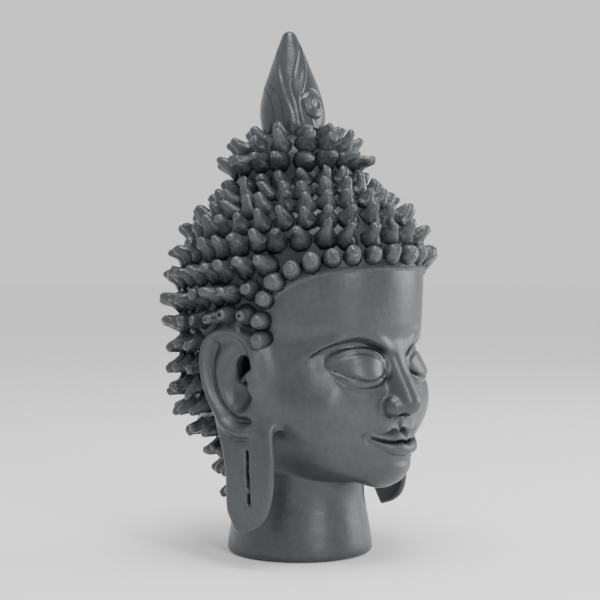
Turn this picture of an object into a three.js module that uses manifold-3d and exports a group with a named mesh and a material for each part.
// A cast resin head with long ears, a cap of pointed curls, a bun and a flame-shaped finial.
// Millimetres, +Z up, face towards -Y. The origin is the centre of the flat underside of the neck.
import * as THREE from 'three';
import Module from 'manifold-3d';
import { ConvexHull } from 'three/addons/math/ConvexHull.js';
import { mergeVertices } from 'three/addons/utils/BufferGeometryUtils.js';

// Driving dimensions. A profile is a short list of [height, size] pairs, joined by a smooth curve.
const totalHeight = 280;
const neck = {
  radii: [[0, 37.6], [2, 38.9], [12, 37.8], [31, 34.8], [46, 35], [70, 38]],
  top: 92,
  blend: 9,
};
const scalp = {
  widthShare: 0.91,
  depthShare: 1.06,
  radii: [[28, 26], [36, 34.2], [63, 45.2], [84, 52.4], [106, 61], [130, 65.6], [153, 63.2], [172, 55],
    [188, 41.5], [198, 28.5], [206, 13]],
  shift: [[36, 10], [68, 5], [100, 0], [135, -0.6], [156, -2.2], [176, -1.8], [190, -0.4], [200, 0]],
  viewShare: 0.766,
  skinDepth: 1.6,
};
const faceEgg = {
  top: 100,
  bottom: 40,
  halfWidth: 54.5,
  halfDepth: 66,
  chinForward: 49,
  fullness: 2.25,
  crownHeight: 78,
  jawPower: 2.5,
  crownPower: 2.6,
  skullFade: 122,
  fadeReach: 25,
  fadeDepth: 12,
};
const jaw = { from: 30, rampUp: 11, to: 95, rampDown: 40, climb: 9 };
const chin = { out: -56.5, height: 51.5, radius: 11, blend: 12 };
const cheek = { apart: 31, out: -38, height: 82, radius: 18.5, blend: 14 };
const eyes = { apart: 22.3, height: 102.5, depth: -53.2, size: [13.5, 10.5, 8.5], blend: 3 };
const socket = { depth: 2.8, halfWidth: 13, halfHeight: 8.5, above: 1 };
const brow = { inner: 108, crest: 116.8, crestAt: 26, rise: 1.3, fall: 9, reach: 4.5, end: 50, fade: 12 };
const nose = {
  rootHeight: 110,
  rootOut: -58.6,
  rootRadius: 5.2,
  tipHeight: 83.6,
  tipOut: -72.3,
  tipRadius: 7.2,
  blend: 6,
};
const wings = { apart: 7.6, out: -67.4, height: 81, radius: 5.2, blend: 4 };
const mouth = {
  height: 64,
  halfWidth: 18.5,
  out: -66.5,
  bow: 8,
  cornerRise: 1.8,
  upper: 2.5,
  upperRise: 2.6,
  lower: 3,
  lowerDrop: 3,
  blend: 3,
};
const reliefFront = { from: 20, reach: 25 };
const hairline = { front: 158, temple: 116, halfAngle: 69, squareness: 3, borderDrop: 6.5, radius: 66 };
const hem = { height: 34.5, angle: 110, step: 8 };
// Rings inside the head that close the shell of hair: how far below its edge they are wrapped, the lowest
// wrap height, and their share of the way out.
const hairLining = [[5, 12, 0.93], [25, 8, 0.7], [60, 4, 0.45]];
const bun = { back: 3, height: 203, radius: 33, halfHeight: 24, tilt: 1.5 };
const ear = {
  front: [[18.3, -12], [21, -19.5], [26, -25.8], [36, -29.4], [54, -30.3], [77, -28], [98, -25.5],
    [115, -20.5], [122, -9]],
  back: [[18.3, -10], [24, -6.5], [30, -3.6], [47, -2.4], [58, 0], [69, 3.6], [87, 9.8], [104, 13.2],
    [115, 11.2], [122, 0]],
  out: [[18, 63.6], [45, 63], [70, 61.5], [100, 62], [122, 62]],
  rows: [17.3, 19.5, 24, 34, 50, 62, 70, 79, 91, 104, 115, 121.5],
  toeIn: 0.14,
  bend: 0.022,
  bevel: 1.6,
  dish: 0.9,
  thickness: 5.2,
  joinedFrom: 66,
  joinedTo: 80,
  joinedThickness: 10,
  rim: [[-18, 98, -1], [-19.6, 107, 0.4], [-14, 116.4, 1], [-3, 119.2, 1.2], [6, 115.5, 1.2], [10, 106, 1.2],
    [9.4, 94, 1.2], [4.6, 82, 1], [-2, 72.8, 0.6], [-9, 69.6, 0], [-16, 69, -0.8]],
  rimRadius: 3,
  bowl: { at: [-9.8, 92], size: [11, 8.8, 14.6], out: 2.4, lean: -8 },
};
const curl = {
  rowPitch: [[38, 11.55], [126, 11.8], [160, 11.7], [172, 10.4], [200, 10]],
  firstRow: 38.5,
  lastRow: 199.5,
  pitch: 11.4,
  length: [[40, 10.4], [150, 10.6], [172, 10.2], [186, 8.2], [200, 8]],
  lift: [[40, -0.05], [110, 0.05], [140, 0.12], [165, 0.3], [190, 0.18], [200, 0.05]],
  wander: 1.5,
  clearance: 8.4,
  aboveEar: 127,
  topRadius: 2.1,
  footRadius: 1.3,
  ringTilt: 5,
  sides: 4,
};
const knob = { pitch: 10.4, topRadius: 3.1, length: 8, lift: 0.02, lastShare: 0.6 };
const bunRows = [
  { height: 206.5, radius: 32.5, count: 17, climb: 15, length: 10.8 },
  { height: 214.5, radius: 28.2, count: 14, climb: 38, length: 10.4 },
  { height: 220.5, radius: 20.5, count: 10, climb: 45, length: 9 },
];
const finial = {
  back: 4.6,
  foot: 222,
  radii: [[222, 16], [230, 17.4], [238, 17.5], [249, 14.9], [260, 10.8], [270, 6.9], [276, 4.5], [280, 1.6]],
  lean: 3,
  sides: 14,
  rings: 9,
  groove: 0.05,
  grooves: 6,
  swirl: 0.5,
};
const medallion = { height: 238.4, turn: -8, radius: 7.4, rise: 1.8, depth: 6, sides: 10 };
const hairCentre = new THREE.Vector3(0, 2, 138);
const farOutside = 105;
const resin = { color: 0x4e5356, roughness: 0.45, metalness: 0 };

const degrees = Math.PI / 180;
const clamp = (value, low, high) => Math.min(high, Math.max(low, value));
const mix = (a, b, t) => a + (b - a) * t;

// Repeatable scatter, so that the curls look hand-made and still come out the same each time.
let seed = 4711;
function scatter(amount) {
  seed = (seed * 16807) % 2147483647;
  return (seed / 2147483647 * 2 - 1) * amount;
}

// A smooth curve through [position, value] pairs, flat beyond both ends.
function along(pairs, at) {
  const last = pairs.length - 1;
  if (at <= pairs[0][0]) return pairs[0][1];
  if (at >= pairs[last][0]) return pairs[last][1];
  const i = pairs.findIndex((pair) => pair[0] > at) - 1;
  const slope = (a, b) => (pairs[b][1] - pairs[a][1]) / (pairs[b][0] - pairs[a][0]);
  const span = pairs[i + 1][0] - pairs[i][0];
  const startSlope = slope(Math.max(i - 1, 0), i + 1);
  const endSlope = slope(i, Math.min(i + 2, last));
  const t = (at - pairs[i][0]) / span;
  const t2 = t * t;
  const t3 = t2 * t;
  return (2 * t3 - 3 * t2 + 1) * pairs[i][1] + (t3 - 2 * t2 + t) * span * startSlope
    + (3 * t2 - 2 * t3) * pairs[i + 1][1] + (t3 - t2) * span * endSlope;
}

// Signed distances, roughly in millimetres: negative inside.
function blend(a, b, reach) {
  const near = Math.max(reach - Math.abs(a - b), 0) / reach;
  return Math.min(a, b) - near * near * reach / 4;
}

function ellipsoid(x, y, z, rx, ry, rz) {
  const outer = Math.hypot(x / rx, y / ry, z / rz);
  const slope = Math.hypot(x / (rx * rx), y / (ry * ry), z / (rz * rz));
  return slope === 0 ? -Math.min(rx, ry, rz) : outer * (outer - 1) / slope;
}

function capsule(p, a, b, radiusA, radiusB) {
  const length2 = a.distanceToSquared(b);
  const reach = (p.x - a.x) * (b.x - a.x) + (p.y - a.y) * (b.y - a.y) + (p.z - a.z) * (b.z - a.z);
  const t = clamp(reach / length2, 0, 1);
  const near = Math.hypot(p.x - mix(a.x, b.x, t), p.y - mix(a.y, b.y, t), p.z - mix(a.z, b.z, t));
  return near - mix(radiusA, radiusB, t);
}

function scalpField(x, y, z) {
  const shift = along(scalp.shift, z);
  const radius = along(scalp.radii, z) - scalp.viewShare * shift;
  const flat = Math.hypot(x / scalp.widthShare, (y - shift) / scalp.depthShare) - radius;
  return Math.max(flat, scalp.radii[0][0] - z, z - scalp.radii[scalp.radii.length - 1][0]);
}

function eggField(x, y, z) {
  const low = clamp((faceEgg.top - z) / (faceEgg.top - faceEgg.bottom), 0, 1.2);
  const high = clamp((z - faceEgg.top) / faceEgg.crownHeight, 0, 1.2);
  const left = z < faceEgg.top ? 1 - low ** faceEgg.jawPower : 1 - high ** faceEgg.crownPower;
  const share = Math.sqrt(Math.max(left, 0));
  const forward = z < faceEgg.top ? (1 - share) * faceEgg.chinForward : 0;
  const n = faceEgg.fullness;
  const wide = Math.abs(x / faceEgg.halfWidth) ** n;
  const deep = Math.abs((y + forward) / faceEgg.halfDepth) ** n;
  const reach = (wide + deep) ** (1 / n);
  return Math.max((reach - share) * faceEgg.halfWidth, faceEgg.bottom - z);
}

const noseRoot = new THREE.Vector3(0, nose.rootOut, nose.rootHeight);
const noseTip = new THREE.Vector3(0, nose.tipOut, nose.tipHeight);

function browHeight(side) {
  const t = side / brow.crestAt;
  if (t < 1) return mix(brow.inner, brow.crest, Math.sin(t * Math.PI / 2));
  return brow.crest - (t - 1) ** 2 * brow.fall;
}

function faceField(p) {
  const side = Math.abs(p.x);
  let field = eggField(p.x, p.y, p.z);
  const chinBall = Math.hypot(p.x * 0.8, p.y - chin.out, p.z - chin.height) - chin.radius;
  field = blend(field, chinBall, chin.blend);
  const cheekBall = Math.hypot(side - cheek.apart, p.y - cheek.out, p.z - cheek.height) - cheek.radius;
  field = blend(field, cheekBall, cheek.blend);
  const front = clamp((-p.y - reliefFront.from) / reliefFront.reach, 0, 1);
  const fromSocket = [(side - eyes.apart) / socket.halfWidth,
    (p.z - eyes.height - socket.above) / socket.halfHeight];
  field += socket.depth * Math.exp(-(fromSocket[0] ** 2) - fromSocket[1] ** 2) * front;
  const aboveBrow = (p.z - browHeight(side)) / brow.reach;
  field -= brow.rise * Math.exp(-(aboveBrow ** 2)) * clamp((brow.end - side) / brow.fade, 0, 1) * front;
  const [ex, ey, ez] = eyes.size;
  const eyeball = ellipsoid(side - eyes.apart, p.y - eyes.depth, p.z - eyes.height, ex, ey, ez);
  field = blend(field, eyeball, eyes.blend);
  field = blend(field, capsule(p, noseRoot, noseTip, nose.rootRadius, nose.tipRadius), nose.blend);
  const wing = Math.hypot(side - wings.apart, p.y - wings.out, p.z - wings.height) - wings.radius;
  field = blend(field, wing, wings.blend);
  const share = (side / mouth.halfWidth) ** 2;
  const lipCurve = p.y - mouth.out - share * mouth.bow;
  const lipLine = p.z - mouth.height - share * mouth.cornerRise;
  const taper = Math.max(1 - share, 0);
  const upper = Math.hypot(lipCurve, lipLine - mouth.upperRise) - mouth.upper * taper;
  const lower = Math.hypot(lipCurve, lipLine + mouth.lowerDrop) - mouth.lower * taper;
  if (taper > 0) field = blend(field, Math.min(upper, lower), mouth.blend);
  return field;
}

// Under the hair the skull carries the forehead. It fades from the face below the brow.
function skullField(p) {
  const low = clamp((faceEgg.skullFade - p.z) / faceEgg.fadeReach, 0, 1);
  const front = clamp((-p.y - 5) / faceEgg.fadeReach, 0, 1);
  return scalpField(p.x, p.y, p.z) + scalp.skinDepth + faceEgg.fadeDepth * low * front;
}

function skinField(p) {
  const neckSide = Math.max(Math.hypot(p.x, p.y) - along(neck.radii, p.z), p.z - neck.top, -p.z);
  return blend(blend(faceField(p), neckSide, neck.blend), skullField(p), 4);
}

function hairField(p) {
  const bunBall = ellipsoid(p.x, p.y - bun.back, p.z - bun.height, bun.radius, bun.radius, bun.halfHeight);
  return blend(scalpField(p.x, p.y, p.z), bunBall, 5);
}

function headField(p) {
  return aboveHairline(p) ? Math.min(skinField(p), hairField(p)) : skinField(p);
}

// The hairline runs over the brow as a rounded arch, from temple to temple in front of the ears.
function hairlineHeight(angle) {
  const share = clamp(Math.abs(angle) / hairline.halfAngle, 0, 1);
  const arch = (1 - share ** hairline.squareness) ** (1 / hairline.squareness);
  return hairline.temple + (hairline.front - hairline.temple) * arch;
}

function aboveHairline(p) {
  const angle = Math.atan2(p.x, -p.y) / degrees;
  if (Math.abs(angle) > hairline.halfAngle) return p.z > 40;
  return p.z > hairlineHeight(angle) - hairline.borderDrop;
}

// The outermost point of a field along a level ray from the axis.
function wrapPoint(field, angle, height) {
  const p = new THREE.Vector3();
  const put = (radius) => p.set(radius * Math.sin(angle), -radius * Math.cos(angle), height);
  const step = 1.5;
  let outside = farOutside;
  while (outside > step && field(put(outside)) > 0) outside -= step;
  let low = outside;
  let high = outside + step;
  for (let i = 0; i < 12; i += 1) {
    const middle = (low + high) / 2;
    if (field(put(middle)) > 0) high = middle;
    else low = middle;
  }
  return put(low).clone();
}

function slopeOf(field, p) {
  const reach = 0.6;
  const step = (x, y, z) => field(new THREE.Vector3(p.x + x, p.y + y, p.z + z));
  return new THREE.Vector3(step(reach, 0, 0) - step(-reach, 0, 0), step(0, reach, 0) - step(0, -reach, 0),
    step(0, 0, reach) - step(0, 0, -reach)).normalize();
}

// A closed body from rings of points, each ring running counter-clockwise seen from its last ring's end.
function ringBody(rings) {
  const count = rings[0].length;
  const positions = [];
  const faces = [];
  rings.forEach((ring) => ring.forEach((p) => positions.push(p.x, p.y, p.z)));
  for (let i = 0; i < rings.length - 1; i += 1) {
    for (let j = 0; j < count; j += 1) {
      const a = i * count + j;
      const b = i * count + (j + 1) % count;
      faces.push(a, b, b + count, a, b + count, a + count);
    }
  }
  const centre = (ring) => ring.reduce((sum, p) => sum.add(p), new THREE.Vector3()).divideScalar(count);
  const first = centre(rings[0]);
  const last = centre(rings[rings.length - 1]);
  positions.push(first.x, first.y, first.z, last.x, last.y, last.z);
  const firstIndex = rings.length * count;
  const lastRing = (rings.length - 1) * count;
  for (let j = 0; j < count; j += 1) {
    const next = (j + 1) % count;
    faces.push(firstIndex, next, j, firstIndex + 1, lastRing + j, lastRing + next);
  }
  const geometry = new THREE.BufferGeometry();
  geometry.setAttribute('position', new THREE.Float32BufferAttribute(positions, 3));
  geometry.setIndex(faces);
  return geometry;
}

// Angles from the front, the same on both sides, with one at the back.
function bothSides(halfAngles) {
  return [...halfAngles.slice(1).reverse().map((angle) => -angle), ...halfAngles, 180];
}

// Rings of wrapped points at the given heights.
function wrappedBody(field, halfAngles, heights, lift) {
  const angles = bothSides(halfAngles);
  const rings = heights.map((height) => angles.map((angle) => {
    return wrapPoint(field, angle * degrees, height + lift(height, angle * degrees));
  }));
  return ringBody(rings);
}

// Rings at the jaw climb towards the ears, as the jaw line does.
function jawLift(height, angle) {
  const below = clamp((height - jaw.from) / jaw.rampUp, 0, 1);
  const above = clamp((jaw.to - height) / jaw.rampDown, 0, 1);
  return below * above * jaw.climb * (1 - Math.cos(Math.min(Math.abs(angle), Math.PI / 2)));
}

function faceBody() {
  const halfAngles = [0, 3, 6, 9.5, 14, 20, 27, 36, 46, 58, 72, 88, 106, 130, 155];
  const heights = [0, 2, 14, 30, 36, 40.5, 45, 51, 58, 61.5, 64.5, 68, 73, 76.5, 80, 87, 94, 99.5, 104.5,
    110, 118, 138, 158];
  return wrappedBody(skinField, halfAngles, heights, jawLift);
}

// 0 on the free lobe, 1 where the ear is joined to the head.
function earJoin(z) {
  return clamp((z - ear.joinedFrom) / (ear.joinedTo - ear.joinedFrom), 0, 1);
}

function earOut(y, z) {
  return along(ear.out, z) + ear.toeIn * (y + 5) - ear.bend * Math.max(-y - 12, 0) ** 2 * earJoin(z);
}

// The ear's plate and long lobe, as rows across from the front edge to the back edge.
function earPlate() {
  const rings = ear.rows.map((z) => {
    const front = along(ear.front, z);
    const back = along(ear.back, z);
    const bevel = Math.min(ear.bevel, (back - front) / 4);
    const middle = (front + back) / 2;
    const inner = mix(ear.thickness, ear.joinedThickness, earJoin(z));
    const spot = (y, inward) => new THREE.Vector3(earOut(y, z) - inward, y, z);
    return [spot(front, bevel), spot(front + bevel, 0), spot(middle, ear.dish), spot(back - bevel, 0),
      spot(back, bevel), spot(back, ear.thickness - bevel), spot(back - bevel, ear.thickness),
      spot(middle, inner), spot(front + bevel, inner), spot(front, inner - bevel)];
  });
  return ringBody(rings);
}

// A tube along [y, z, outward] places on the ear, thinner at both ends.
function earRidge(places, radius, sides) {
  const spots = places.map(([y, z, out]) => new THREE.Vector3(earOut(y, z) + out, y, z));
  const curve = new THREE.CatmullRomCurve3(spots);
  const steps = places.length;
  const side = new THREE.Vector3();
  const out = new THREE.Vector3(1, 0, 0);
  const rings = [];
  for (let i = 0; i <= steps; i += 1) {
    const t = i / steps;
    const middle = curve.getPointAt(t);
    side.crossVectors(curve.getTangentAt(t), out).normalize();
    const size = radius * mix(0.45, 1, Math.min(1, 6 * Math.min(t, 1 - t)));
    rings.push(Array.from({ length: sides }, (_, j) => {
      const turn = j / sides * 2 * Math.PI;
      const spot = middle.clone().addScaledVector(side, size * Math.cos(turn));
      return spot.addScaledVector(out, -size * Math.sin(turn));
    }));
  }
  return ringBody(rings);
}

const wasm = await Module();
wasm.setup();

function solid(geometry) {
  const bare = geometry.clone();
  bare.deleteAttribute('normal');
  bare.deleteAttribute('uv');
  const merged = mergeVertices(bare, 1e-4);
  return new wasm.Manifold(new wasm.Mesh({
    numProp: 3,
    vertProperties: new Float32Array(merged.attributes.position.array),
    triVerts: new Uint32Array(merged.index.array),
  }));
}

function outward(geometry) {
  const body = solid(geometry);
  if (body.volume() > 0) return body;
  const flipped = geometry.clone();
  flipped.setIndex(Array.from(geometry.index.array).reverse());
  return solid(flipped);
}

function mirrored(geometry) {
  return outward(geometry.clone().scale(-1, 1, 1));
}

function conchaCut() {
  const { at, size, out, lean } = ear.bowl;
  const bowl = new THREE.SphereGeometry(1, 10, 8);
  bowl.scale(...size);
  bowl.rotateX(lean * degrees);
  bowl.translate(earOut(...at) + out, ...at);
  return bowl;
}

// A ring of points round an axis, used for the blunt end of a curl and for its foot on the scalp.
function ringAround(centre, axis, radius, turn, sides) {
  const frame = new THREE.Quaternion().setFromUnitVectors(new THREE.Vector3(0, 0, 1), axis);
  return Array.from({ length: sides }, (_, j) => {
    const angle = turn + j / sides * 2 * Math.PI;
    const spoke = new THREE.Vector3(radius * Math.cos(angle), radius * Math.sin(angle), 0);
    return spoke.applyQuaternion(frame).add(centre);
  });
}

// The outermost point of the hair in a direction from the middle of the head.
function hairPoint(direction) {
  const put = (reach) => hairCentre.clone().addScaledVector(direction, reach);
  let low = 20;
  let high = 130;
  for (let i = 0; i < 22; i += 1) {
    const middle = (low + high) / 2;
    if (hairField(put(middle)) > 0) high = middle;
    else low = middle;
  }
  return put(low);
}

// Triangles between points spread over a ball, by the hull of their directions from its middle.
function weave(points) {
  const directions = points.map((point) => point.clone().sub(hairCentre).normalize());
  const index = new Map(directions.map((direction, i) => [direction, i]));
  return new ConvexHull().setFromPoints(directions).faces.map((face) => {
    const corners = [face.edge, face.edge.next, face.edge.next.next];
    return corners.map((edge) => index.get(edge.head().point));
  });
}

// One closed shell for all the hair: each curl has a blunt end, and shares the valleys round its foot.
function hairShell(curls) {
  const rim = hairRim();
  const feet = [...curls.map((place) => place.spot), ...rim.map((point) => point.on)];
  const between = weave(feet).filter((corners) => corners.every((corner) => corner < curls.length));
  const valleys = between.map((corners) => {
    const sum = corners.reduce((total, corner) => total.add(feet[corner]), new THREE.Vector3());
    return hairPoint(sum.divideScalar(corners.length).sub(hairCentre).normalize());
  });
  const points = [...rim, ...valleys.map((valley) => ({ on: valley, at: valley }))];
  curls.forEach(({ spot, axis, length, topRadius, turn }) => {
    const foot = ringAround(spot, slopeOf(hairField, spot), curl.footRadius, turn, curl.sides);
    const tip = spot.clone().addScaledVector(axis, length);
    const end = ringAround(tip, axis, topRadius, turn, curl.sides);
    foot.forEach((on, j) => points.push({ on, at: end[j] }));
  });
  const geometry = new THREE.BufferGeometry();
  const places = points.flatMap(({ at }) => [at.x, at.y, at.z]);
  geometry.setAttribute('position', new THREE.Float32BufferAttribute(places, 3));
  geometry.setIndex(weave(points.map((point) => point.on)).flat());
  return geometry;
}

// The hair's edge along the brow and behind the ears, and the places inside the head that close the shell.
function hairRim() {
  const points = [];
  for (let angle = -180; angle < 180; angle += hem.step) {
    const turn = angle * degrees;
    const inFront = Math.abs(angle) < hairline.halfAngle;
    const edge = inFront ? hairlineHeight(angle) - hairline.borderDrop : hairHem(Math.abs(angle));
    const on = wrapPoint(hairField, turn, edge);
    points.push({ on, at: on.clone() });
    hairLining.forEach(([drop, lowest, inset], row) => {
      if (row > 0 && Math.abs(angle / hem.step) % 2 === 1) return;
      const low = Math.max(edge - drop, lowest);
      const under = new THREE.Vector3(on.x * (1 - row * 0.2), on.y * (1 - row * 0.2), low);
      points.push({ on: under, at: new THREE.Vector3(on.x * inset, on.y * inset, edge - 0.5 - row) });
    });
  }
  const bottom = new THREE.Vector3(0, 0, -40);
  points.push({ on: bottom, at: new THREE.Vector3(0, 0, 60) });
  return points;
}

// How low the hair reaches behind the ears, by the angle from the front.
function hairHem(angle) {
  const behind = clamp((angle - hairline.halfAngle) / (hem.angle - hairline.halfAngle), 0, 1);
  return mix(hairline.temple, hem.height, behind ** 2);
}

function curlAt(angle, height, lift, length, topRadius) {
  const spot = wrapPoint(headField, angle, height);
  const axis = slopeOf(hairField, spot);
  axis.z += lift;
  axis.x += scatter(0.15);
  axis.y += scatter(0.15);
  axis.z += scatter(0.12);
  axis.normalize();
  return { spot, axis, length: length * (1 + scatter(0.09)), topRadius, turn: scatter(Math.PI) };
}

// Heights of the rows, evenly spaced up the slope of the scalp from the nape to the bun.
function rowHeights() {
  const rows = [];
  let travelled = 0;
  let next = 0;
  const step = 0.5;
  for (let z = curl.firstRow; z < curl.lastRow; z += step) {
    if (travelled >= next) {
      rows.push(z);
      next += along(curl.rowPitch, z);
    }
    travelled += Math.hypot(step, along(scalp.radii, z + step) - along(scalp.radii, z));
  }
  return rows;
}

// How far round from the front a row begins: behind the ear, or past the knobs along the hairline.
function rowStart(height) {
  if (height < curl.aboveEar - 2) {
    const depth = along(scalp.radii, height) * scalp.depthShare;
    return 90 + Math.asin((along(ear.back, height) + 8.5) / depth) / degrees;
  }
  const tilted = (angle) => height + rowTilt(height) * Math.cos(angle * degrees);
  for (let angle = 78; angle > 0; angle -= 1) {
    if (tilted(angle) < hairlineHeight(angle) + curl.clearance) return angle + 2;
  }
  return 0;
}

function rowTilt(height) {
  return Math.tan(curl.ringTilt * degrees) * along(scalp.radii, height);
}

function rowCurls(height, odd) {
  const start = rowStart(height);
  const radius = along(scalp.radii, height);
  const lift = along(curl.lift, height);
  const places = [];
  const whole = start === 0;
  const sweep = (whole ? 360 : 360 - 2 * start) * degrees;
  const count = Math.round(sweep * radius / curl.pitch - (whole ? 0 : odd * 0.5));
  for (let i = 0; i < count; i += 1) {
    const share = whole ? (i + odd * 0.5) / count : (i + 0.5) / count;
    const angle = start * degrees + share * sweep + scatter(curl.wander) / radius;
    const z = height + rowTilt(height) * Math.cos(angle) + scatter(curl.wander / 2);
    places.push(curlAt(angle, z, lift, along(curl.length, z), curl.topRadius));
  }
  return places;
}

// The first row: blunt knobs side by side along the hairline.
function hairlineKnobs() {
  const places = [];
  let travelled = knob.pitch;
  const step = 0.25;
  const half = [];
  for (let angle = 0; angle <= hairline.halfAngle + 0.1; angle += step) {
    if (travelled >= knob.pitch) {
      half.push(angle);
      travelled -= knob.pitch;
    }
    const rise = hairlineHeight(angle + step) - hairlineHeight(angle);
    travelled += Math.hypot(rise, step * degrees * hairline.radius);
  }
  if (travelled > knob.pitch * knob.lastShare) half.push(hairline.halfAngle);
  [...half.slice(1).map((angle) => -angle), ...half].forEach((angle) => {
    places.push(curlAt(angle * degrees, hairlineHeight(angle), knob.lift, knob.length, knob.topRadius));
  });
  return places;
}

function bunCurls() {
  const places = [];
  bunRows.forEach(({ height, radius, count, climb, length }, row) => {
    for (let i = 0; i < count; i += 1) {
      const angle = (i + (row % 2) * 0.5) / count * 2 * Math.PI + scatter(0.04);
      const out = new THREE.Vector3(Math.sin(angle), -Math.cos(angle), 0);
      const spot = out.clone().multiplyScalar(radius);
      spot.add(new THREE.Vector3(0, bun.back, height + scatter(0.5) + Math.cos(angle) * bun.tilt));
      const tilt = (climb + scatter(5)) * degrees;
      const axis = out.multiplyScalar(Math.cos(tilt)).add(new THREE.Vector3(0, 0, Math.sin(tilt)));
      const size = length * (1 + scatter(0.06));
      places.push({ spot, axis, length: size, topRadius: curl.topRadius, turn: scatter(Math.PI) });
    }
  });
  return places;
}

function finialBody() {
  const top = totalHeight;
  const rings = [];
  for (let i = 0; i <= finial.rings; i += 1) {
    const z = mix(finial.foot, top, (i / finial.rings) ** 0.9);
    const radius = along(finial.radii, z);
    const lean = finial.back + Math.tan(finial.lean * degrees) * (z - finial.foot);
    rings.push(Array.from({ length: finial.sides }, (_, j) => {
      const angle = j / finial.sides * 2 * Math.PI;
      const twist = finial.swirl * Math.sin((z - finial.foot) / (top - finial.foot) * 2 * Math.PI);
      const size = radius * (1 - finial.groove * (0.5 + 0.5 * Math.cos(finial.grooves * angle)));
      return new THREE.Vector3(size * Math.cos(angle + twist), lean + size * Math.sin(angle + twist), z);
    }));
  }
  return ringBody(rings);
}

function medallionBody() {
  const { radius, depth, rise, turn, height, sides } = medallion;
  const disc = new THREE.CylinderGeometry(radius, radius * 0.85, depth, sides);
  disc.translate(0, depth / 2 - rise - along(finial.radii, height), 0);
  disc.rotateZ(turn * degrees);
  disc.translate(0, finial.back + Math.tan(finial.lean * degrees) * (height - finial.foot), height);
  return disc;
}

function castHead() {
  let body = outward(faceBody());
  [earPlate(), earRidge(ear.rim, ear.rimRadius, 5)].forEach((geometry) => {
    body = body.add(outward(geometry)).add(mirrored(geometry));
  });
  body = body.subtract(outward(conchaCut())).subtract(mirrored(conchaCut()));
  const curls = rowHeights().flatMap((height, row) => rowCurls(height, row % 2));
  body = body.add(outward(hairShell([...curls, ...bunCurls(), ...hairlineKnobs()])));
  return body.add(outward(finialBody())).add(outward(medallionBody()));
}

function meshOf(body) {
  const mesh = body.getMesh();
  const geometry = new THREE.BufferGeometry();
  geometry.setAttribute('position', new THREE.Float32BufferAttribute(mesh.vertProperties, 3));
  geometry.setIndex(Array.from(mesh.triVerts));
  return geometry;
}

const statue = new THREE.Group();
const head = new THREE.Mesh(meshOf(castHead()), new THREE.MeshStandardMaterial(resin));
head.name = 'cast_head';
statue.add(head);

export default statue;
